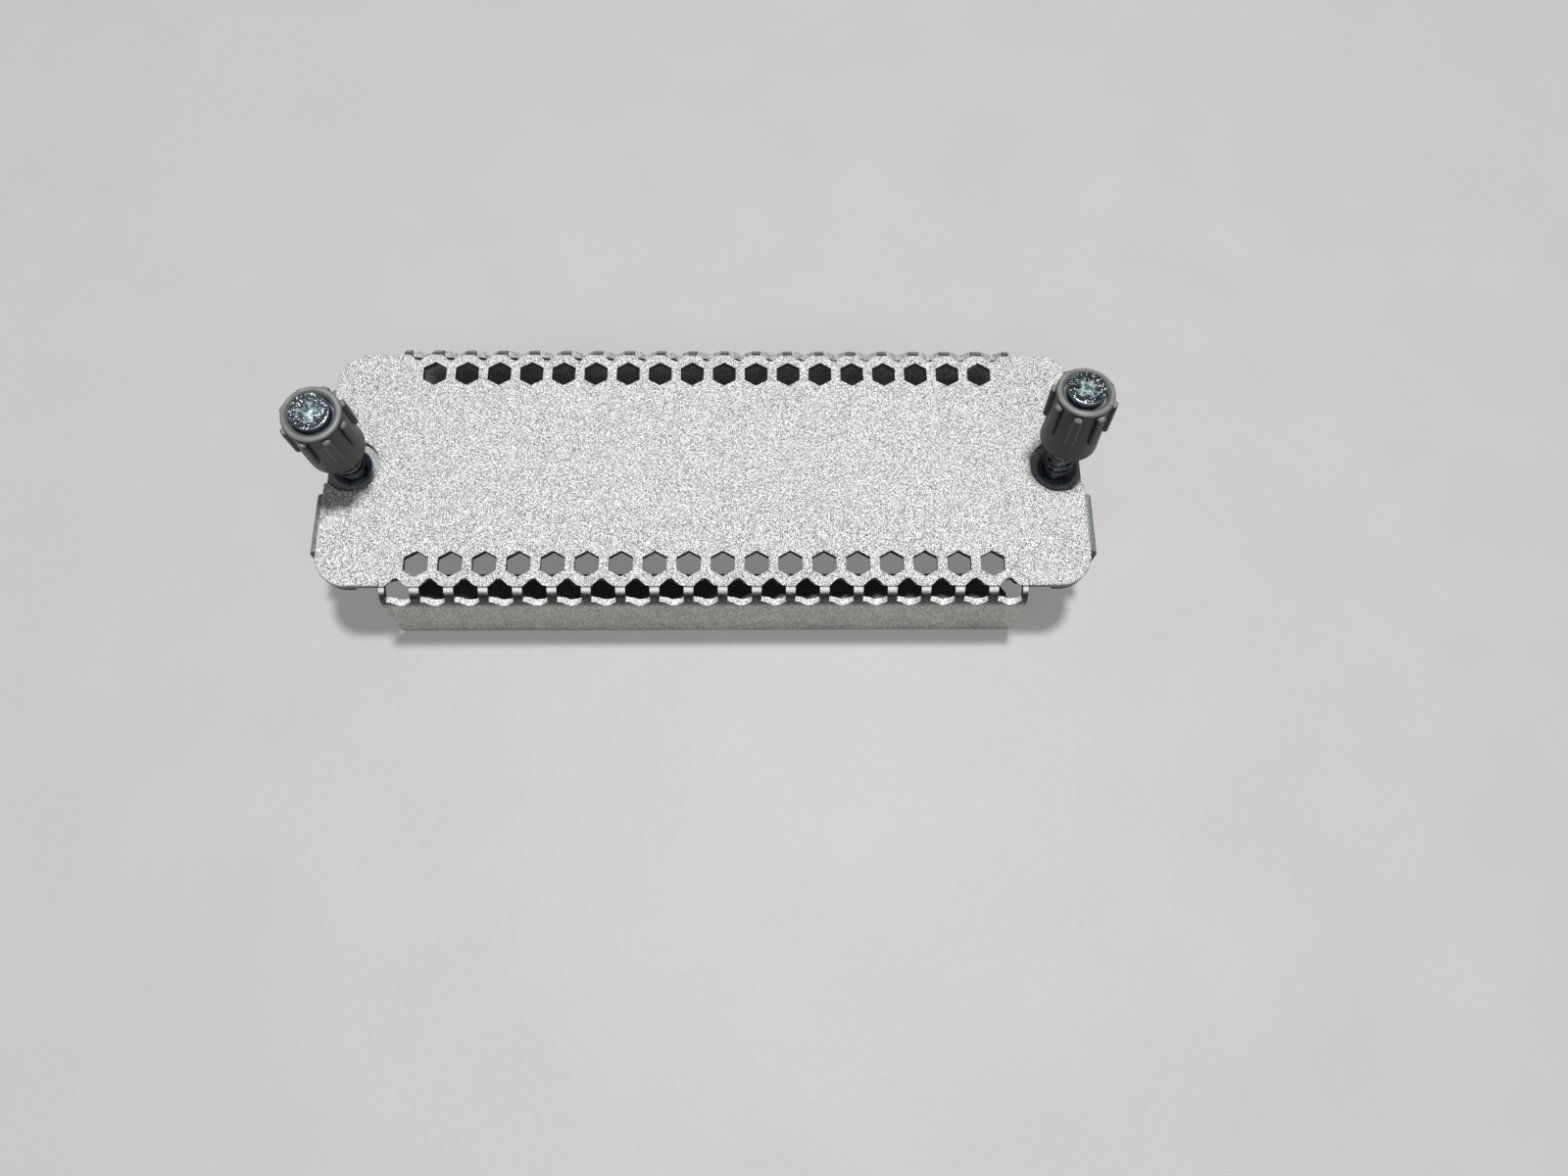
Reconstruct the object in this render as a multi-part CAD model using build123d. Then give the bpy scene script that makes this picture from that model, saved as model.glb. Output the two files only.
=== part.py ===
"""Module slot blank panel: a perforated, folded steel cover for an empty module slot, with two
captive thumbscrews.

The panel stands on the lips of its two flanges, with its painted face up. X runs along the panel,
Y across it, and the origin is on the standing surface under the panel's centre.
Every length is in millimetres and every angle in degrees.
"""

import math
import os

from build123d import *

# Panel: one sheet, punched flat and then folded twice along both long sides
sheet = 1.0  # thickness
panel_height = 42.8  # over the outer faces of the two flanges
panel_depth = 17.0  # from the painted face to the undersides of the lips
bend_inside = 2.0  # inside radius of the folds
neutral_depth = 0.42  # from the fold's inside to the layer that doesn't stretch
face_length = 114.8
face_height = 38.8  # between the free edges beside the flanges
face_corner = 5.0
face_edge = 0.2  # broken rim of the punched face
flange_setback = 9.8  # from the face's end to the flange's end
relief_width = 0.1  # cut that frees each end of a fold from the face
relief_depth = 0.1  # how far that cut runs in past the fold
lip_width = 10.0  # from the flange's outer face to the edge of the lip folded in at its foot
lip_cut_length = 2.4  # along X, at each corner of the lip's edge
lip_cut_width = 3.4  # along Y

# Hexagonal perforation, two staggered rows along each fold
hole_pitch = 5.0
hole_flats = 3.6  # across flats
end_web = 0.7  # least metal between a row's last hole and the flange's end

# Notch round each thumbscrew, open to the end of the face
screw_inset = 3.8  # from the face's end to the screw
notch_radius = 4.3
notch_mouth = 5.8  # width of its open side

# End brackets: a second layer behind each end of the face, with two tabs folded back
bracket_sheet = 1.2
bracket_inset = 0.15  # how far its edges lie inside the face's
bracket_arm = 5.9  # width of the strip along the face's end
bracket_pad_length = 10.3  # length of the middle pad that holds the bush
bracket_pad_height = 16.0
bracket_corner = 1.2
tab_start = 4.2  # from the panel's centre line
tab_width = 9.4
tab_bend_inside = 0.2
tab_depth = 8.0  # from the painted face to the tab's edge

# Retaining bush, pressed into the bracket and flush behind it
bush_bore = 2.7
bush_body = 4.4
bush_head = 6.0
bush_head_thickness = 0.6

# Thumbscrew, measured along its own axis from the middle of the bush
neck = 2.2
thread = 3.0
thread_length = 4.3
thread_chamfer = 0.4
shoulder_gap = 0.3  # from the bush to the thread's shoulder when the screw is drawn out
knurl = 3.5
screw_head = 5.5
screw_head_thickness = 2.3
head_edge = 0.15
cross_length = 3.5
cross_width = 1.2
cross_depth = 1.3
cross_floor_length = 1.4
cross_floor_width = 0.5

# The screws sit loosely in their bushes: each leans, and is turned as it was left
lean_left = 4.5  # towards -Y
lean_right = -6.0
lean_in_left = 1.2  # towards the panel's middle
lean_in_right = 0.5
knob_turn_left = 30.0
knob_turn_right = 26.0
cross_turn_left = 8.0
cross_turn_right = 38.0

# Knob: a plastic sleeve pressed on the screw
knob_length = 11.7
knob_lift = 7.5  # from the painted face to the knob when the screw is drawn out
knob_foot = 8.5  # diameter at the bottom
knob_waist = 8.0  # diameter just under the rim
knob_rim = 8.4
knob_rim_height = 0.8
knob_rim_round = 0.55
knob_foot_edge = 0.25
knob_wall = 1.05
knob_web = 1.5  # floor that carries the screw's head
head_proud = 0.8  # from the rim up to the top of the head
head_clearance = 0.35  # all round the head in its counterbore
dish_width = 0.35  # slope inside the rim
dish_depth = 0.25
rib_count = 8
rib_length = 6.6
rib_width = 1.4
rib_height = 0.5
rib_edge = 0.25
rib_root = 0.3  # how far a rib is rooted in the sleeve
rib_top_gap = 0.1  # from the rim down to the ribs

# Spring between the bush and the knob's web, a coil of short straight lengths
spring_wire = 0.45
spring_diameter = 3.8  # at the middle of the wire
spring_turns = 8
turn_sides = 12  # straight lengths in one turn
wire_sides = 6
spring_gap = 0.3  # clear of the bush at its foot, for the lean
spring_top_gap = 0.05

# How far a cutter reaches past what it cuts
reach = 1.2

# Derived sizes
screw_spacing = face_length - 2 * screw_inset
flange_length = face_length - 2 * flange_setback
bend_outside = bend_inside + sheet
flange_face = panel_height / 2
bend_start = flange_face - bend_outside
bend_arc = math.pi / 2 * (bend_inside + neutral_depth)
row_pitch = hole_pitch * math.cos(math.radians(30))
bend_row = bend_start + bend_arc / 2  # along the flat sheet: the row is centred on the fold
face_row = bend_row - row_pitch
bend_holes = 1 + int((flange_length - hole_flats - 2 * end_web) / hole_pitch)
face_holes = bend_holes - 1
bracket_top = panel_depth - sheet
bracket_back = bracket_top - bracket_sheet
bush_top = bracket_top + bush_head_thickness
pivot = (bush_top + bracket_back) / 2
knob_bottom = panel_depth + knob_lift - pivot
knob_top = knob_bottom + knob_length
head_top = knob_top + head_proud
head_bottom = head_top - screw_head_thickness
web_bottom = head_bottom - knob_web
thread_top = bracket_back - pivot - shoulder_gap
thread_bottom = thread_top - thread_length


def hexagon(across_flats):
    """Corners of a hexagon with two sides along Y, from its top corner round."""
    corner = across_flats / 2 / math.cos(math.radians(30))
    turns = [math.radians(90 - 60 * i) for i in range(6)]
    return [(corner * math.cos(t), corner * math.sin(t)) for t in turns]


def row(count):
    """Places of a row's holes along X."""
    return [hole_pitch * (i - (count - 1) / 2) for i in range(count)]


def on_fold(along, out):
    """Y and Z of a point that lies `along` the flat sheet from the centre line and `out` from its
    outer surface, once the +Y side is folded."""
    if along <= bend_start:
        return along, panel_depth + out
    if along >= bend_start + bend_arc:
        below = along - bend_start - bend_arc
        return flange_face + out, panel_depth - bend_outside - below
    turn = (along - bend_start) / bend_arc * math.pi / 2
    radius = bend_outside + out
    return (
        bend_start + radius * math.sin(turn),
        panel_depth - bend_outside + radius * math.cos(turn),
    )


def folded_hole():
    """Cutter for one hexagon of the +Y fold, punched square to the sheet before it was folded."""
    corners = hexagon(hole_flats)
    outer = [(x, *on_fold(bend_row + y, reach)) for x, y in corners]
    inner = [(x, *on_fold(bend_row + y, -sheet - reach)) for x, y in corners]
    polygons = []
    for ring in (outer, inner):
        for picked in ((0, 1, 5), (1, 2, 4, 5), (2, 3, 4)):
            polygons.append([ring[i] for i in picked])
    for i in range(6):
        j = (i + 1) % 6
        if abs(corners[i][0] - corners[j][0]) < 1e-9:
            polygons.append([outer[i], outer[j], inner[j], inner[i]])
        else:
            polygons.append([outer[i], outer[j], inner[j]])
            polygons.append([outer[i], inner[j], inner[i]])
    faces = [Face(Wire.make_polygon([Vector(*p) for p in points])) for points in polygons]
    return Solid(Shell(faces))


def box(low, high):
    """A box from its lowest to its highest corner."""
    size = [b - a for a, b in zip(low, high)]
    middle = [(a + b) / 2 for a, b in zip(low, high)]
    return Pos(*middle) * Box(*size)


def both_sides(part):
    """The part and its copy across the YZ plane."""
    return [part, mirror(part, Plane.YZ)]


def flanged_strip():
    """The middle of the panel with its two flanges and their lips, before the holes."""
    middle = flange_face - sheet / 2
    lip_edge = flange_face - lip_width
    foot = sheet / 2
    top = bracket_top + sheet / 2
    path = FilletPolyline(
        (-lip_edge, foot), (-middle, foot), (-middle, top),
        (middle, top), (middle, foot), (lip_edge, foot),
        radius=bend_inside + sheet / 2,
    )
    section = Plane.YZ * trace(path, line_width=sheet)
    return extrude(section, flange_length / 2, both=True)


def lip_corners():
    """Cutters for the slanted corners of the two lips."""
    end = flange_length / 2
    edge = flange_face - lip_width
    outline = Polyline(
        (end - lip_cut_length, edge), (end, edge + lip_cut_width),
        (end + reach, edge + lip_cut_width), (end + reach, edge - reach),
        (end - lip_cut_length, edge - reach), close=True,
    )
    corner = extrude(Pos(0, 0, -reach) * make_face(outline), sheet + 2 * reach)
    return both_sides(corner) + both_sides(mirror(corner, Plane.XZ))


def face_plate():
    """The flat of the face, slotted beside each end of the two folds."""
    outline = RectangleRounded(face_length, face_height, face_corner)
    plate = extrude(Pos(0, 0, bracket_top) * outline, sheet)
    plate = chamfer(plate.edges().group_by(Axis.Z)[-1], face_edge)
    half_strip = flange_length / 2
    strip_end = half_strip + relief_width
    for side in (-1, 1):
        across = sorted((side * bend_start, side * face_height))
        plate -= box((-half_strip, across[0], 0), (half_strip, across[1], 2 * panel_depth))
        across = sorted((side * (bend_start - relief_depth), side * face_height))
        for end in (-1, 1):
            along = sorted((end * half_strip, end * strip_end))
            plate -= box((along[0], across[0], 0), (along[1], across[1], 2 * panel_depth))
    return plate


def front_panel():
    """The face with its two flanges, folded from one perforated sheet."""
    hole = make_face(Polyline(*hexagon(hole_flats), close=True))
    hole = extrude(Pos(0, 0, bracket_top - reach) * hole, sheet + 2 * reach)
    fold = folded_hole()
    cutters = lip_corners()
    cutters += [Pos(x, side * face_row, 0) * hole for side in (-1, 1) for x in row(face_holes)]
    for x in row(bend_holes):
        cutters += [Pos(x, 0, 0) * fold, mirror(Pos(x, 0, 0) * fold, Plane.XZ)]
    for side in (-1, 1):
        centre = side * screw_spacing / 2
        ends = sorted((centre, side * (face_length / 2 + reach)))
        cutters.append(Pos(centre, 0, panel_depth) * Cylinder(notch_radius, 2 * (sheet + reach)))
        cutters.append(box((ends[0], -notch_mouth / 2, 0), (ends[1], notch_mouth / 2, 2 * panel_depth)))
    return (flanged_strip() + face_plate()) - cutters


def end_bracket():
    """The right bracket: a plate behind the end of the face, with two tabs folded back."""
    end = face_length / 2
    outer = end - bracket_inset
    half_height = face_height / 2 - bracket_inset
    arm = Pos(outer - bracket_arm / 2, 0) * Rectangle(bracket_arm, 2 * half_height)
    outer_corners = arm.vertices().sort_by(Axis.X)[-2:]
    arm = fillet(outer_corners, face_corner - bracket_inset)
    pad = Pos(outer - bracket_pad_length / 2, 0) * RectangleRounded(
        bracket_pad_length, bracket_pad_height, bracket_corner
    )
    hole = Pos(screw_spacing / 2, 0) * Circle(bush_body / 2)
    plate = extrude(Pos(0, 0, bracket_back) * (arm + pad - hole), bracket_sheet)

    middle = bracket_back + bracket_sheet / 2
    tab_bend = tab_bend_inside + bracket_sheet / 2
    tab_middle = end + tab_bend
    path = FilletPolyline(
        (outer - bracket_arm / 2, middle),
        (tab_middle, middle),
        (tab_middle, panel_depth - tab_depth),
        radius=tab_bend,
    )
    tab = extrude(Plane.XZ * trace(path, line_width=bracket_sheet), -tab_width)
    for start in (tab_start, -tab_start - tab_width):
        plate += Pos(0, start, 0) * tab
    return plate


def turned(*points):
    """A turned solid from its outline of radius and height."""
    outline = make_face(Polyline(*points, close=True))
    return revolve(Plane.XZ * outline, Axis.Z)


def bush():
    """Retaining bush: a head on the bracket and a body through it."""
    bore = bush_bore / 2
    body = bush_body / 2
    head = bush_head / 2
    return turned(
        (bore, bracket_back), (body, bracket_back), (body, bracket_top),
        (head, bracket_top), (head, bush_top), (bore, bush_top),
    )


def cross_recess():
    """Cutter for the cross in the screw's head, narrowing to its floor."""
    blades = []
    for turn in (0, 90):
        place = Pos(0, 0, head_top) * Rot(0, 0, turn)
        top = place * Rectangle(cross_length, cross_width)
        floor = place * Pos(0, 0, -cross_depth) * Rectangle(cross_floor_length, cross_floor_width)
        blades.append(loft([top, floor], ruled=True))
    return blades


def screw():
    """Captive screw: cross-recessed head, knurl in the knob, thin neck and threaded tip."""
    tip = thread / 2 - thread_chamfer
    outline = turned(
        (0, thread_bottom), (tip, thread_bottom), (thread / 2, thread_bottom + thread_chamfer),
        (thread / 2, thread_top), (neck / 2, thread_top), (neck / 2, web_bottom),
        (knurl / 2, web_bottom), (knurl / 2, head_bottom), (screw_head / 2, head_bottom),
        (screw_head / 2, head_top), (0, head_top),
    )
    head = fillet(outline.edges().group_by(Axis.Z)[-1], head_edge)
    return head - cross_recess()


def knob():
    """Ribbed plastic sleeve: open below over the spring, with a counterbore for the screw's head."""
    foot, waist, rim = knob_foot / 2, knob_waist / 2, knob_rim / 2
    bore = foot - knob_wall
    seat = screw_head / 2 + head_clearance
    rim_bottom = knob_top - knob_rim_height
    sleeve = turned(
        (bore, knob_bottom), (foot - knob_foot_edge, knob_bottom), (foot, knob_bottom + knob_foot_edge),
        (waist, rim_bottom), (rim, rim_bottom + (rim - waist)), (rim, knob_top),
        (seat + dish_width, knob_top), (seat, knob_top - dish_depth), (seat, head_bottom),
        (knurl / 2, head_bottom), (knurl / 2, web_bottom), (bore, web_bottom),
    )
    top_edges = sleeve.edges().group_by(Axis.Z)[-1].sort_by(SortBy.LENGTH)
    sleeve = fillet(top_edges[-1], knob_rim_round)

    root = waist - rib_root
    middle = rim_bottom - rib_top_gap - rib_length / 2
    slot = Plane.YZ.offset(root) * Pos(0, middle) * SlotOverall(rib_length, rib_width, rotation=90)
    rib = extrude(slot, foot + rib_height - root)
    rib = chamfer(rib.edges().group_by(Axis.X)[-1], rib_edge)
    return sleeve + [Rot(0, 0, i * 360 / rib_count) * rib for i in range(rib_count)]


def spring():
    """Compression spring round the neck, from the bush to the knob's web."""
    wire = spring_wire / 2
    low = bush_top - pivot + spring_gap + wire
    high = web_bottom - spring_top_gap - wire
    lengths = spring_turns * turn_sides
    corners = []
    for i in range(lengths + 1):
        turn = 2 * math.pi * i / turn_sides
        across = spring_diameter / 2 * math.cos(turn), spring_diameter / 2 * math.sin(turn)
        corners.append((*across, low + (high - low) * i / lengths))
    path = Polyline(*corners)
    section = Plane(path @ 0, z_dir=path % 0) * RegularPolygon(wire, wire_sides)
    return sweep(section, path, transition=Transition.RIGHT)


def thumbscrew_place(side, lean, lean_in):
    """Where one thumbscrew's own axis stands: in the middle of its bush, and leaning."""
    return Pos(side * screw_spacing / 2, 0, pivot) * Rot(lean, 0, 0) * Rot(0, -side * lean_in, 0)


def nodes():
    """Every piece by name, at its place."""
    pieces = {"front_panel": front_panel()}
    right_bracket, left_bracket = both_sides(end_bracket())
    left_turns = (cross_turn_left, knob_turn_left)
    right_turns = (cross_turn_right, knob_turn_right)
    for name, side, lean, lean_in, turns, bracket in (
        ("left", -1, lean_left, lean_in_left, left_turns, left_bracket),
        ("right", 1, lean_right, lean_in_right, right_turns, right_bracket),
    ):
        place = thumbscrew_place(side, lean, lean_in)
        pieces[f"{name}_end_bracket"] = bracket
        pieces[f"{name}_retaining_bush"] = Pos(side * screw_spacing / 2, 0, 0) * bush()
        pieces[f"{name}_screw"] = place * Rot(0, 0, turns[0]) * screw()
        pieces[f"{name}_knob"] = place * Rot(0, 0, turns[1]) * knob()
        pieces[f"{name}_spring"] = place * spring()
    return pieces


os.makedirs("parts", exist_ok=True)
for node, solid in nodes().items():
    export_step(solid, f"parts/{node}.step")
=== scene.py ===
"""Module slot blank panel: finishes, springs, floor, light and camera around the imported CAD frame.

Lengths that are named here are in millimetres, and those that Blender is given are in metres.
"""

import math

import bpy
from mathutils import Matrix, Vector


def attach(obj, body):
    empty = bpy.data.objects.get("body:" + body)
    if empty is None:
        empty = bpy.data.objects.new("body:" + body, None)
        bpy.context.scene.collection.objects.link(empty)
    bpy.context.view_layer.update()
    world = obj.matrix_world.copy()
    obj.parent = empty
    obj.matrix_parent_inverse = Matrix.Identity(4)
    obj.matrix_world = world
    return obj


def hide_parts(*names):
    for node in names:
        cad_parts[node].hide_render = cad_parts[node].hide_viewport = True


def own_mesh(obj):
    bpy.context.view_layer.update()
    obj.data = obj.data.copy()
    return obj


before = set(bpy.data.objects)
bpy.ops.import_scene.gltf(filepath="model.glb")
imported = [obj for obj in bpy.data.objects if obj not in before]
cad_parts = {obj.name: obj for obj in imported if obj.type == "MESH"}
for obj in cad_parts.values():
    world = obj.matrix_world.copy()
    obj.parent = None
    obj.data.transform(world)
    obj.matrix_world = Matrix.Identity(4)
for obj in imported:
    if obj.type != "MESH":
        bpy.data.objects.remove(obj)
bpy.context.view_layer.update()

MM = 0.001

# The photo's camera, in pixels, millimetres and degrees
PHOTO_WIDTH = 1600
FOCAL_PIXELS = 1256
SENSOR = 36
CAMERA_PLACE = (7.06, -83.56, 185.62)
CAMERA_AZIMUTH = -3.98
CAMERA_ELEVATION = 69.26
CAMERA_ROLL = 3.62
NEAREST_SEEN = 10

# The thumbscrews, as in the solids, with heights along a screw's own axis from its pivot
SCREW_X = 53.6
PIVOT_Z = 15.7
LEANS = {"left": (4.5, 1.2), "right": (-6.0, -0.5)}  # degrees about X and about Y
HEAD_TOP = 21.3
CROSS_REACH = 1.9
DISH_EDGE = (3.45, 3.6)
DISH_HEIGHT = (19.0, 19.4)

# The springs, as in the solids
SPRING_FOOT = 1.2
SPRING_TOP = 17.45
SPRING_WIRE = 0.45
SPRING_DIAMETER = 3.8
SPRING_TURNS = 8
STEPS_A_TURN = 36
WIRE_SIDES = 10

# The panel's folds turn about the edges of this core
CORE_Y = 18.4
CORE_LOW = 3.0
CORE_HIGH = 14.0

# Heights on the panel where its finish, its painted shade and its painted highlight change, each from
# start to end of the change
# The foot is painted darker, painted shade for the floor's contact shadow that it reflects
FOOT_SHADE = (0.6, 2.6)
# A dark band round each fold is painted shade, a painted dark reflection of the room
DARK_BAND_STARTS = (13.0, 14.6)
DARK_BAND_ENDS = (15.9, 16.25)
CREST_HIGHLIGHT_STARTS = (16.2, 16.4)
# A thin painted shadow just below the paint's edge, for the paint's thickness
PAINT_EDGE_SHADOW = (16.70, 16.75)
PAINT_EDGE = (16.77, 16.83)
PAINT_EDGE_WANDERS = 0.06

# Places across the panel: the painted highlight lies on the crest of the front fold alone, and the
# spray's colour is darker towards the rear
CREST_HIGHLIGHT_FADES = (-10.0, -5.0)
SPRAY_FADES = (-5.0, 5.0)

# Colours
PAINT = (0.80, 0.795, 0.779, 1)
SPRAY = (0.95, 0.945, 0.93, 1)
PANEL_ZINC = (0.37, 0.375, 0.355, 1)
# Painted highlight on the crest of the front fold
CREST_HIGHLIGHT = (0.88, 0.88, 0.86, 1)
# Cut walls: dark bare steel, painted darker still as their shade
SHADED_CUT_STEEL = (0.10, 0.10, 0.097, 1)
BRACKET_ZINC = (0.45, 0.48, 0.49, 1)
SCREW_TINTS = (0.38, 0.39, 0.58, 1), (0.54, 0.66, 0.72, 1)
# The bushes' zinc is a darker copy of the screws', painted shade for the shadow under the knobs
SHADED_BUSH_TINTS = (0.22, 0.22, 0.34, 1), (0.30, 0.36, 0.40, 1)
# Painted reflections in the screws' recesses, from dark to near-white
RECESS_HIGHLIGHT_TINTS = (0.16, 0.26, 0.30, 1), (0.92, 0.98, 0.96, 1)
# Painted glints on the screws' heads
GLINT_DOT_COLOUR = (0.94, 0.96, 0.96, 1)
# Dark grey plastic, painted darker still as the shade on the knobs' sides
SHADED_PLASTIC = (0.030, 0.027, 0.028, 1)
# Painted light on the knobs' tops
TOP_LIT_PLASTIC = (0.25, 0.25, 0.243, 1)
# Painted shade in the dish round the screw head
DISH_SHADE_PLASTIC = (0.11, 0.135, 0.13, 1)
# Painted shade on the ribs' side walls
RIB_WALL_SHADE = (0.004, 0.004, 0.004, 1)
WIRE = (0.20, 0.20, 0.21, 1)
FLOOR = (0.575, 0.568, 0.556, 1)
WORLD_TINTS = (0.03, 0.03, 0.03, 1), (0.12, 0.121, 0.124, 1)

# Share of the floor's light that shadows don't take
FLOOR_GLOW = 0.34
FLOOR_HALF = 3000


def node(tree, kind, inputs=None, **settings):
    """Adds a shader node, with its settings and its inputs as values or sockets."""
    made = tree.nodes.new(kind)
    for name, value in settings.items():
        setattr(made, name, value)
    for name, value in (inputs or {}).items():
        if isinstance(value, bpy.types.NodeSocket):
            tree.links.new(value, made.inputs[name])
        else:
            made.inputs[name].default_value = value
    return made


def maths(tree, operation, first, second=0.0, third=0.0):
    """One step of arithmetic on numbers or sockets."""
    inputs = {0: first, 1: second, 2: third}
    return node(tree, "ShaderNodeMath", inputs, operation=operation).outputs[0]


def times(tree, first, second):
    """The product of two numbers or sockets."""
    return maths(tree, "MULTIPLY", first, second)


def vector(tree, operation, first, second=(0, 0, 0), end=0):
    """One step of arithmetic on vectors, with the output named by end."""
    inputs = {0: first, 1: second}
    return node(tree, "ShaderNodeVectorMath", inputs, operation=operation).outputs[end]


def ramp(tree, value, low, high, to_low=0.0, to_high=1.0):
    """Turns a value from low to high into one from to_low to to_high, held at both ends."""
    inputs = {
        "Value": value,
        "From Min": low,
        "From Max": high,
        "To Min": to_low,
        "To Max": to_high,
    }
    return node(tree, "ShaderNodeMapRange", inputs).outputs["Result"]


def mix(tree, share, first, second):
    """Mixes two colours by share."""
    inputs = {0: share, 6: first, 7: second}
    return node(tree, "ShaderNodeMix", inputs, data_type="RGBA").outputs[2]


def mix_value(tree, share, first, second):
    """Mixes two numbers by share."""
    inputs = {0: share, 2: first, 3: second}
    return node(tree, "ShaderNodeMix", inputs, data_type="FLOAT").outputs[0]


def shade(tree, colour, value):
    """Multiplies a colour by a value."""
    inputs = {0: 1.0, 6: colour, 7: value}
    made = node(tree, "ShaderNodeMix", inputs, data_type="RGBA", blend_type="MULTIPLY")
    return made.outputs[2]


class Finish:
    """A material with its principled shader and the piece's own coordinates in millimetres."""

    def __init__(self, name, metallic, roughness, specular=0.5):
        self.material = bpy.data.materials.new(name)
        self.material.use_nodes = True
        self.tree = self.material.node_tree
        self.shader = self.tree.nodes["Principled BSDF"]
        self.set("Specular IOR Level", specular)
        self.set("Metallic", metallic)
        self.set("Roughness", roughness)
        own = node(self.tree, "ShaderNodeTexCoord").outputs
        self.normal = own["Normal"]
        self.place = vector(self.tree, "MULTIPLY", own["Object"], (1 / MM, 1 / MM, 1 / MM))
        self.facing = node(self.tree, "ShaderNodeSeparateXYZ", {0: self.normal}).outputs
        self.axes = node(self.tree, "ShaderNodeSeparateXYZ", {0: self.place}).outputs

    def set(self, name, value):
        """Sets or links one input of the shader."""
        if isinstance(value, bpy.types.NodeSocket):
            self.tree.links.new(value, self.shader.inputs[name])
        else:
            self.shader.inputs[name].default_value = value

    def noise(self, scale, detail=2.0, stretch=(1, 1, 1)):
        """Noise with that many grains a millimetre, stretched along the axes."""
        place = vector(self.tree, "DIVIDE", self.place, stretch)
        inputs = {"Vector": place, "Scale": scale, "Detail": detail}
        return node(self.tree, "ShaderNodeTexNoise", inputs).outputs[0]

    def bump(self, height, depth):
        """Bumps of that depth in millimetres."""
        inputs = {"Height": height, "Distance": depth * MM}
        self.set("Normal", node(self.tree, "ShaderNodeBump", inputs).outputs[0])

    def cut(self):
        """How far the surface is a cut edge of the folded panel, from 0 on its skins to 1."""
        tree = self.tree
        core = vector(tree, "MAXIMUM", self.place, (0, -CORE_Y, CORE_LOW))
        core = vector(tree, "MINIMUM", core, (0, CORE_Y, CORE_HIGH))
        out = vector(tree, "MULTIPLY", vector(tree, "SUBTRACT", self.place, core), (0, 1, 1))
        out = vector(tree, "NORMALIZE", out)
        along = maths(tree, "ABSOLUTE", vector(tree, "DOT_PRODUCT", out, self.normal, "Value"))
        return ramp(tree, along, 0.45, 0.62, to_low=1.0, to_high=0.0)

    def off_axis(self, own):
        """The frame own's Z axis, the way to here from its origin, and the way out from its axis."""
        axis = tuple(own.to_3x3() @ Vector((0, 0, 1)))
        off = vector(self.tree, "SUBTRACT", self.place, tuple(own.translation / MM))
        out = vector(self.tree, "SUBTRACT", off, vector(self.tree, "PROJECT", off, axis))
        return axis, off, out

    def about(self, own):
        """Distance from the Z axis of the frame own, and height along it."""
        axis, off, out = self.off_axis(own)
        away = vector(self.tree, "LENGTH", out, end="Value")
        return away, vector(self.tree, "DOT_PRODUCT", off, axis, "Value")

    def rib_wall(self, own):
        """How far the surface faces round the Z axis of the frame own, from 0 to 1."""
        tree = self.tree
        axis, _, out = self.off_axis(own)
        shares = []
        for direction in (vector(tree, "NORMALIZE", out), axis):
            along = vector(tree, "DOT_PRODUCT", self.normal, direction, "Value")
            along = maths(tree, "ABSOLUTE", along)
            shares.append(ramp(tree, along, 0.35, 0.55, to_low=1.0, to_high=0.0))
        return times(tree, *shares)


def zinc_sheet(finish, colour):
    """Colour, roughness and relief of galvanised sheet rolled along X."""
    tree = finish.tree
    streaks = finish.noise(1.6, 3.0, stretch=(9, 1, 1))
    clouds = finish.noise(0.18)
    grain = finish.noise(6.0, stretch=(1.4, 1, 1))
    tone = ramp(tree, clouds, 0.3, 0.7, 0.93, 1.07)
    tone = times(tree, tone, ramp(tree, streaks, 0.3, 0.7, 0.86, 1.1))
    tone = times(tree, tone, ramp(tree, grain, 0.40, 0.60, 0.45, 1.55))
    rough = ramp(tree, streaks, 0.3, 0.7, 0.28, 0.4)
    return shade(tree, colour, tone), rough, streaks


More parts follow.
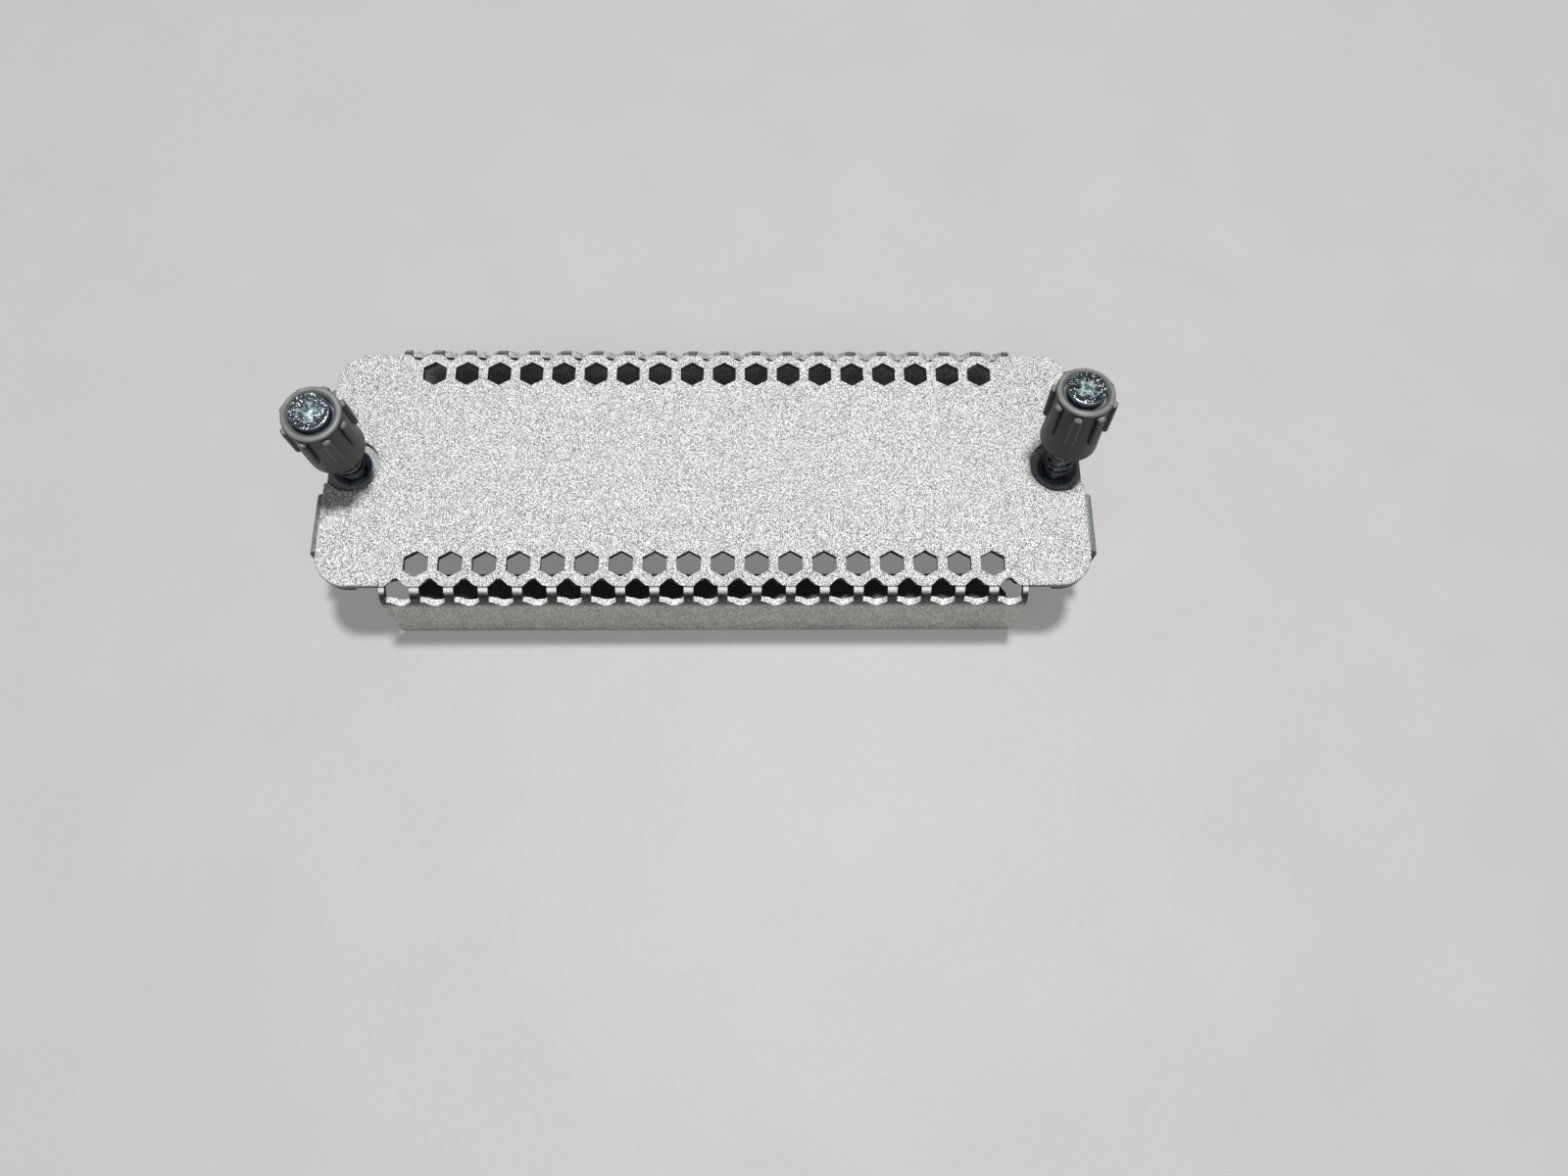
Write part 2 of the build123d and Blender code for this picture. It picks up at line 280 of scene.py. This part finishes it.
def painted_sheet():
    """Textured paint down to just past the crests of the folds, and galvanised sheet below it, with
    painted shade and a painted highlight on the bare sheet.

    The paint has also sprayed the walls of the folds' holes where they face up.
    """
    finish = Finish("textured_paint_on_galvanised_sheet", 0.0, 0.5)
    tree = finish.tree
    across, height = finish.axes[1:]
    upwards = finish.facing[2]
    cut = finish.cut()
    grain = finish.noise(7.2)  # 17 mm times the scale is far from a whole number, as noise needs there
    torn = finish.noise(3.0, stretch=(0.5, 1, 1))

    bare, bare_rough, streaks = zinc_sheet(finish, PANEL_ZINC)
    # Painted shade: the bare sheet is darkened in a band round each fold, standing in for the dark
    # room it reflects there
    dark_band = ramp(tree, height, *DARK_BAND_ENDS, to_low=1.0, to_high=0.0)
    dark_band = times(tree, dark_band, ramp(tree, height, *DARK_BAND_STARTS))
    bare = shade(tree, bare, ramp(tree, dark_band, 0.0, 1.0, to_low=1.0, to_high=0.25))
    # Painted shade: darker at the foot, where the sheet reflects the floor's contact shadow
    bare = shade(tree, bare, ramp(tree, height, *FOOT_SHADE, to_low=0.5))
    # Painted highlight: the crest of the front fold is near-white, standing in for the light its bare
    # metal reflects
    crest_highlight = ramp(tree, across, *CREST_HIGHLIGHT_FADES, to_low=1.0, to_high=0.0)
    crest_highlight = times(tree, crest_highlight, ramp(tree, height, *CREST_HIGHLIGHT_STARTS))
    bare = mix(tree, crest_highlight, bare, CREST_HIGHLIGHT)
    # The cut walls are dark bare steel, painted darker still as painted shade
    bare = mix(tree, cut, bare, SHADED_CUT_STEEL)

    wander = ramp(tree, grain, 0.0, 1.0, -PAINT_EDGE_WANDERS, PAINT_EDGE_WANDERS)
    edge = maths(tree, "ADD", height, wander)
    # Painted shadow: a thin dark line just below the paint's edge
    bare = shade(tree, bare, ramp(tree, edge, *PAINT_EDGE_SHADOW, to_low=1.0, to_high=0.2))
    painted = times(tree, ramp(tree, edge, *PAINT_EDGE), ramp(tree, upwards, 0.45, 0.65))
    paint = shade(tree, PAINT, ramp(tree, grain, 0.415, 0.59, 0.18, 1.40))

    sprayed = times(tree, cut, ramp(tree, upwards, 0.40, 0.55))
    spray = shade(tree, SPRAY, ramp(tree, torn, 0.40, 0.52, to_low=0.35))
    # The spray's colour is darker towards the rear
    spray = shade(tree, spray, ramp(tree, across, *SPRAY_FADES, to_low=1.0, to_high=0.6))

    coated = maths(tree, "MAXIMUM", painted, sprayed)
    finish.set("Base Color", mix(tree, painted, mix(tree, sprayed, bare, spray), paint))
    finish.set("Metallic", ramp(tree, coated, 0.0, 1.0, to_low=0.92, to_high=0.0))
    finish.set("Roughness", mix_value(tree, coated, bare_rough, 0.55))
    relief = times(tree, grain, painted)
    finish.bump(maths(tree, "MULTIPLY_ADD", streaks, 0.12, relief), 0.14)
    return finish.material


def bare_sheet():
    """Galvanised steel of the end brackets, with painted shade: darker where it faces sideways, but
    not on faces turned along X.
    """
    finish = Finish("galvanised_sheet", 0.35, 0.5)
    tree = finish.tree
    colour, rough, streaks = zinc_sheet(finish, BRACKET_ZINC)
    # Painted shade: faces turned sideways are darkened, as the light from above falls on them less;
    # faces turned along X are spared
    facing_shade = ramp(tree, finish.facing[2], 0.2, 1.0, to_low=0.06, to_high=0.9)
    outwards = maths(tree, "ABSOLUTE", finish.facing[0])
    flat = ramp(tree, outwards, 0.93, 0.99, to_high=0.9)
    finish.set("Base Color", shade(tree, colour, maths(tree, "MAXIMUM", facing_shade, flat)))
    finish.set("Roughness", maths(tree, "ADD", rough, 0.14))
    finish.bump(streaks, 0.012)
    return finish.material


def zinc_plate(name, tints, own=None):
    """Bright zinc plate.

    That of a screw, whose frame is own, has pale dots on top, which are painted glints, and painted
    bright reflections down in the recess.
    """
    finish = Finish(name, 1.0, 0.18)
    tree = finish.tree
    clouds = finish.noise(0.9, 3.0)
    specks = finish.noise(3.0)
    colour = mix(tree, ramp(tree, clouds, 0.35, 0.6), *tints)
    colour = shade(tree, colour, ramp(tree, specks, 0.34, 0.42, to_low=0.3))
    if own:
        # Painted glints: pale dots on the head's top, kept off its shaded sides
        on_top = ramp(tree, finish.facing[2], 0.75, 0.9)
        glint_dots = times(tree, ramp(tree, specks, 0.59, 0.64), on_top)
        away, height = finish.about(own)
        inner = ramp(tree, away, CROSS_REACH, CROSS_REACH + 0.05, to_low=1.0, to_high=0.0)
        below = ramp(tree, height, HEAD_TOP - 0.06, HEAD_TOP - 0.02, to_low=1.0, to_high=0.0)
        deep = times(tree, inner, below)
        # Painted reflection: the recess is mottled from dark to near-white
        facets = finish.noise(1.7, 1.0)
        recess_highlight = mix(tree, ramp(tree, facets, 0.42, 0.58), *RECESS_HIGHLIGHT_TINTS)
        rough, metal = 0.18, 1.0
        for share, tint, its_rough, its_metal in (
            (glint_dots, GLINT_DOT_COLOUR, 0.5, 0.5),
            (deep, recess_highlight, 0.30, 0.7),
        ):
            colour = mix(tree, share, colour, tint)
            rough = mix_value(tree, share, rough, its_rough)
            metal = mix_value(tree, share, metal, its_metal)
        finish.set("Roughness", rough)
        finish.set("Metallic", metal)
    finish.set("Base Color", colour)
    finish.bump(specks, 0.04)
    return finish.material


def grey_plastic(name, own):
    """Moulded dark grey plastic of the knob whose frame is own, with painted light: lighter where it
    faces up, and darker still on its sides.
    """
    finish = Finish(name, 0.0, 0.4, specular=0.35)
    tree = finish.tree
    clouds = finish.noise(0.9, 3.0)
    # Painted light: faces turned up are lighter, as the light from above falls on them
    patchy = ramp(tree, clouds, 0.2, 0.6, to_low=0.7)
    lit_top = times(tree, ramp(tree, finish.facing[2], 0.25, 0.8), patchy)
    away, height = finish.about(own)
    # Painted shade: the dish round the head is darker
    dish_shade = ramp(tree, away, *DISH_EDGE, to_low=1.0, to_high=0.0)
    dish_shade = times(tree, dish_shade, ramp(tree, height, *DISH_HEIGHT))
    colour = mix(tree, lit_top, SHADED_PLASTIC, TOP_LIT_PLASTIC)
    colour = mix(tree, dish_shade, colour, DISH_SHADE_PLASTIC)
    # Painted shade: the ribs' side walls are near-black
    colour = mix(tree, finish.rib_wall(own), colour, RIB_WALL_SHADE)
    finish.set("Base Color", shade(tree, colour, ramp(tree, clouds, 0.3, 0.7, 0.9, 1.1)))
    finish.set("Roughness", ramp(tree, clouds, 0.3, 0.7, 0.34, 0.46))
    finish.bump(finish.noise(5.0), 0.012)
    return finish.material


def spring_steel():
    """Drawn wire."""
    finish = Finish("spring_steel", 1.0, 0.3)
    tree = finish.tree
    streaks = finish.noise(3.0, stretch=(1, 1, 0.2))
    finish.set("Base Color", shade(tree, WIRE, ramp(tree, streaks, 0.3, 0.7, 0.8, 1.1)))
    finish.set("Roughness", ramp(tree, streaks, 0.3, 0.7, 0.24, 0.38))
    return finish.material


def screw_axis(name):
    """Place of one thumbscrew's own frame: Z up along the screw from the middle of its bush."""
    side = -1 if name == "left" else 1
    place = Matrix.Translation(Vector((side * SCREW_X, 0, PIVOT_Z)) * MM)
    about_x, about_y = (math.radians(a) for a in LEANS[name])
    return place @ Matrix.Rotation(about_x, 4, "X") @ Matrix.Rotation(about_y, 4, "Y")


def coil_line():
    """Points along the wire's middle, with a closed turn at each end."""
    low, high = SPRING_FOOT + SPRING_WIRE / 2, SPRING_TOP - SPRING_WIRE / 2
    rise = (high - low - 2 * SPRING_WIRE) / SPRING_TURNS
    radius = SPRING_DIAMETER / 2
    points = []
    for i in range((SPRING_TURNS + 2) * STEPS_A_TURN + 1):
        turn = i / STEPS_A_TURN
        open_turns = min(max(turn - 1, 0), SPRING_TURNS)
        height = low + SPRING_WIRE * (turn - open_turns) + rise * open_turns
        angle = 2 * math.pi * turn
        points.append(Vector((radius * math.cos(angle), radius * math.sin(angle), height)))
    return points


def coil_mesh(name):
    """The spring's wire as a closed tube, where it stands at rest."""
    line = coil_line()
    place = screw_axis(name)
    vertices, faces = [], []
    for i, point in enumerate(line):
        along = (line[min(i + 1, len(line) - 1)] - line[max(i - 1, 0)]).normalized()
        out = Vector((point.x, point.y, 0)).normalized()
        up = along.cross(out)
        for k in range(WIRE_SIDES):
            turn = 2 * math.pi * k / WIRE_SIDES
            off = SPRING_WIRE / 2 * (math.cos(turn) * out + math.sin(turn) * up)
            vertices.append(place @ ((point + off) * MM))
    for i in range(len(line) - 1):
        for k in range(WIRE_SIDES):
            a, b = i * WIRE_SIDES + k, i * WIRE_SIDES + (k + 1) % WIRE_SIDES
            faces.append((a, b, b + WIRE_SIDES, a + WIRE_SIDES))
    faces.append(tuple(range(WIRE_SIDES)))
    faces.append(tuple(len(vertices) - 1 - k for k in range(WIRE_SIDES)))
    mesh = bpy.data.meshes.new(f"{name}_coil")
    mesh.from_pydata(vertices, [], faces)
    mesh.shade_smooth()
    return mesh


def coil(name, finish):
    """The compression spring as a smooth wire round the screw's neck, standing at rest."""
    piece = bpy.data.objects.new(f"{name}_coil", coil_mesh(name))
    bpy.context.scene.collection.objects.link(piece)
    piece.data.materials.append(finish)
    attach(piece, "panel")
    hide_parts(f"{name}_spring")
    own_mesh(piece)


def floor():
    """A plain pale floor, part of whose light reaches the eye in the shadows too."""
    finish = Finish("pale_floor", 0.0, 0.5, specular=0.3)
    tree = finish.tree
    clouds = finish.noise(0.05, 3.0)
    colour = shade(tree, FLOOR, ramp(tree, clouds, 0.3, 0.7, 0.98, 1.02))
    finish.set("Base Color", colour)
    finish.bump(finish.noise(0.5, 3.0), 0.1)
    rays = node(tree, "ShaderNodeLightPath").outputs
    seen = maths(tree, "MAXIMUM", rays["Is Camera Ray"], rays["Is Glossy Ray"])
    glow = node(tree, "ShaderNodeEmission", {"Color": colour}).outputs[0]
    inputs = {0: times(tree, seen, FLOOR_GLOW), 1: finish.shader.outputs[0], 2: glow}
    surface = node(tree, "ShaderNodeMixShader", inputs).outputs[0]
    tree.links.new(surface, tree.nodes["Material Output"].inputs["Surface"])
    half = FLOOR_HALF * MM
    corners = [(-half, -half, 0), (half, -half, 0), (half, half, 0), (-half, half, 0)]
    mesh = bpy.data.meshes.new("floor")
    mesh.from_pydata(corners, [], [(0, 1, 2, 3)])
    mesh.materials.append(finish.material)
    plane = bpy.data.objects.new("floor", mesh)
    bpy.context.scene.collection.objects.link(plane)


def lamp(name, place, size, power):
    """A soft rectangular lamp aimed at the origin."""
    light = bpy.data.lights.new(name, "AREA")
    light.shape = "RECTANGLE"
    light.size, light.size_y = size
    light.energy = power
    made = bpy.data.objects.new(name, light)
    made.location = place
    made.rotation_mode = "QUATERNION"
    made.rotation_quaternion = (-Vector(place)).to_track_quat("-Z", "Y")
    bpy.context.scene.collection.objects.link(made)


def daylight():
    """A dim room, darkest at the horizon and behind the object."""
    world = bpy.data.worlds.new("surround")
    world.use_nodes = True
    tree = world.node_tree
    own = node(tree, "ShaderNodeTexCoord")
    axes = node(tree, "ShaderNodeSeparateXYZ", {0: own.outputs["Generated"]}).outputs
    colour = mix(tree, ramp(tree, axes[2], -0.1, 0.9), *WORLD_TINTS)
    colour = shade(tree, colour, ramp(tree, axes[1], -0.6, 0.6, to_low=1.2, to_high=0.4))
    tree.links.new(colour, tree.nodes["Background"].inputs["Color"])
    bpy.context.scene.world = world


def camera():
    """A camera where the photo's stood."""
    angles = (CAMERA_AZIMUTH, CAMERA_ELEVATION, CAMERA_ROLL)
    azimuth, elevation, roll = (math.radians(a) for a in angles)
    flat = math.cos(elevation)
    back = Vector((math.sin(azimuth) * flat, -math.cos(azimuth) * flat, math.sin(elevation)))
    right = Vector((math.cos(azimuth), math.sin(azimuth), 0))
    up = back.cross(right)
    turned_right = math.cos(roll) * right + math.sin(roll) * up
    turned_up = math.cos(roll) * up - math.sin(roll) * right
    turn = Matrix((turned_right, turned_up, back)).transposed().to_4x4()
    data = bpy.data.cameras.new("photo_camera")
    data.sensor_fit = "HORIZONTAL"
    data.sensor_width = SENSOR
    data.lens = FOCAL_PIXELS * SENSOR / PHOTO_WIDTH
    data.clip_start = NEAREST_SEEN * MM
    made = bpy.data.objects.new("photo_camera", data)
    made.matrix_world = Matrix.Translation(Vector(CAMERA_PLACE) * MM) @ turn
    bpy.context.scene.collection.objects.link(made)
    bpy.context.scene.camera = made


def dress(names, material):
    """Gives CAD nodes a finish."""
    for name in names:
        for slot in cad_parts[name].material_slots:
            slot.material = material


camera()
spring_finish = spring_steel()
dress(["front_panel"], painted_sheet())
dress(["left_end_bracket", "right_end_bracket"], bare_sheet())
dress(["left_retaining_bush", "right_retaining_bush"], zinc_plate("zinc_plate", SHADED_BUSH_TINTS))
dress(["left_spring", "right_spring"], spring_finish)
for side in LEANS:
    axis_frame = screw_axis(side)
    dress([f"{side}_knob"], grey_plastic(f"{side}_knob_grey_plastic", axis_frame))
    dress([f"{side}_screw"], zinc_plate(f"{side}_screw_zinc_plate", SCREW_TINTS, axis_frame))
    coil(side, spring_finish)
floor()
daylight()
lamp("key", place=(0.05, 0.07, 0.80), size=(0.08, 0.08), power=6.0)
lamp("front", place=(0.0, -0.42, 0.50), size=(0.9, 0.20), power=0.7)
bpy.context.scene.view_settings.view_transform = "Standard"
